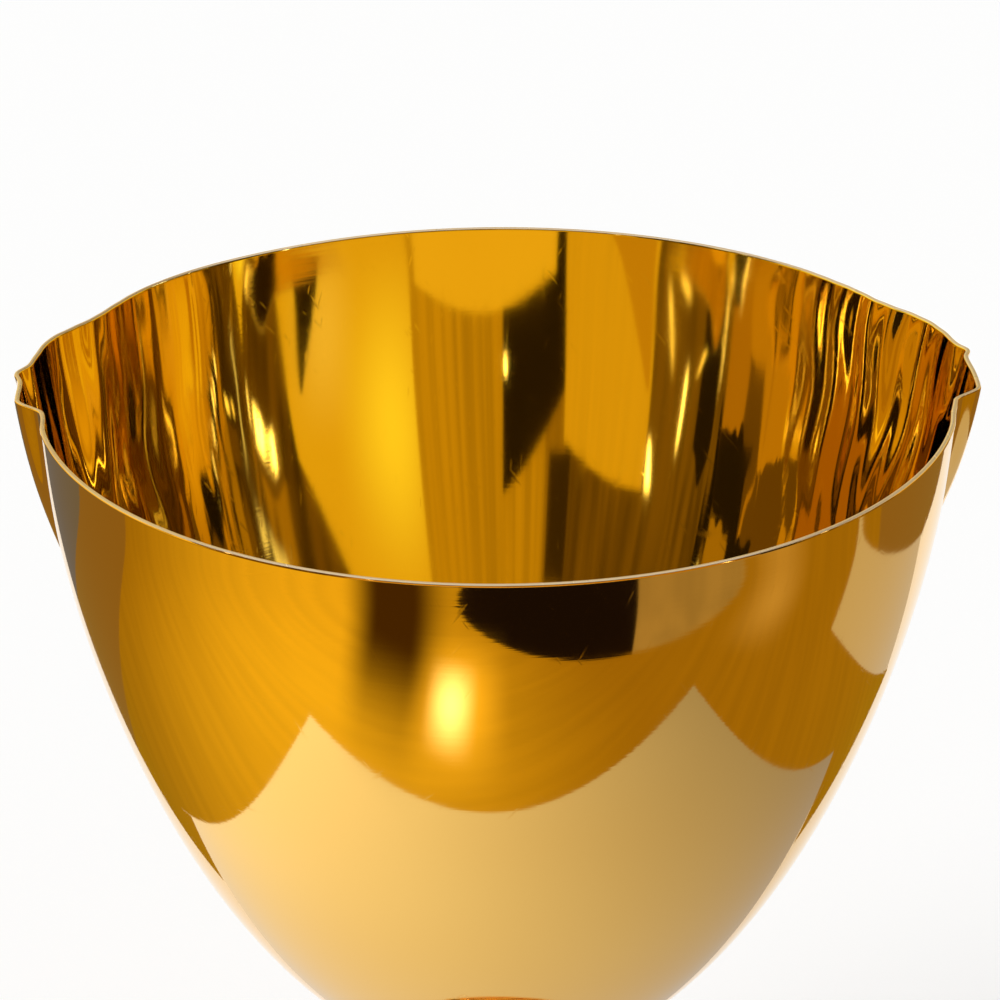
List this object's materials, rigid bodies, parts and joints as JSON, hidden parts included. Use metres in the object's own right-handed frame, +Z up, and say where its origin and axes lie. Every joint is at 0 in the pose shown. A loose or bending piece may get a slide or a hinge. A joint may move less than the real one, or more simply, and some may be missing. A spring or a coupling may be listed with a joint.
{
  "type": "chalice",
  "caption": "Gilt pouring chalice: a deep spun cup with a pouring lip on either side, on a knopped stem and a trumpet foot, with the cup screwed on to a tie rod.",
  "frame": {"origin": "centre of the foot's underside, on the surface that the chalice stands on", "axes": "+Z up along the cup's axis, +X towards the right-hand lip, -Y towards the viewer of the picture"},
  "size_m": [0.1234, 0.116, 0.1746],
  "materials": {
    "gilt": "mirror polished gilding",
    "turned_brass": "turned",
    "steel": "bright zinc",
    "nylon": "natural"
  },
  "bodies": {
    "stand": {"cup_collar": "gilt", "stem_upper": "gilt", "upper_ring": "gilt", "knop_upper": "gilt", "knop_band": "gilt", "knop_lower": "gilt", "knop_sleeve": "turned_brass", "stem_lower": "gilt", "lower_ring": "gilt", "foot": "gilt", "foot_rim": "gilt", "foot_plate": "turned_brass", "tie_rod": "steel", "tie_washer": "steel", "tie_nut": "steel"},
    "washer_carrier": {"slip_washer": "nylon"},
    "cup_body": {"cup": "gilt", "cup_boss": "turned_brass"}
  },
  "joints": [
    {"name": "cup_rise", "type": "slide", "parent": "stand", "child": "washer_carrier", "axis": [0, 0, 1], "range_m": [0, 0.0095]},
    {"name": "cup_turn", "type": "hinge", "parent": "washer_carrier", "child": "cup_body", "pos_m": [0, 0, 0.079], "axis": [0, 0, 1], "range_deg": [0, 2736]}
  ],
  "couplings": [
    {"joint": "cup_rise", "follows": "cup_turn", "m_per_rad": 0.00019894}
  ]
}
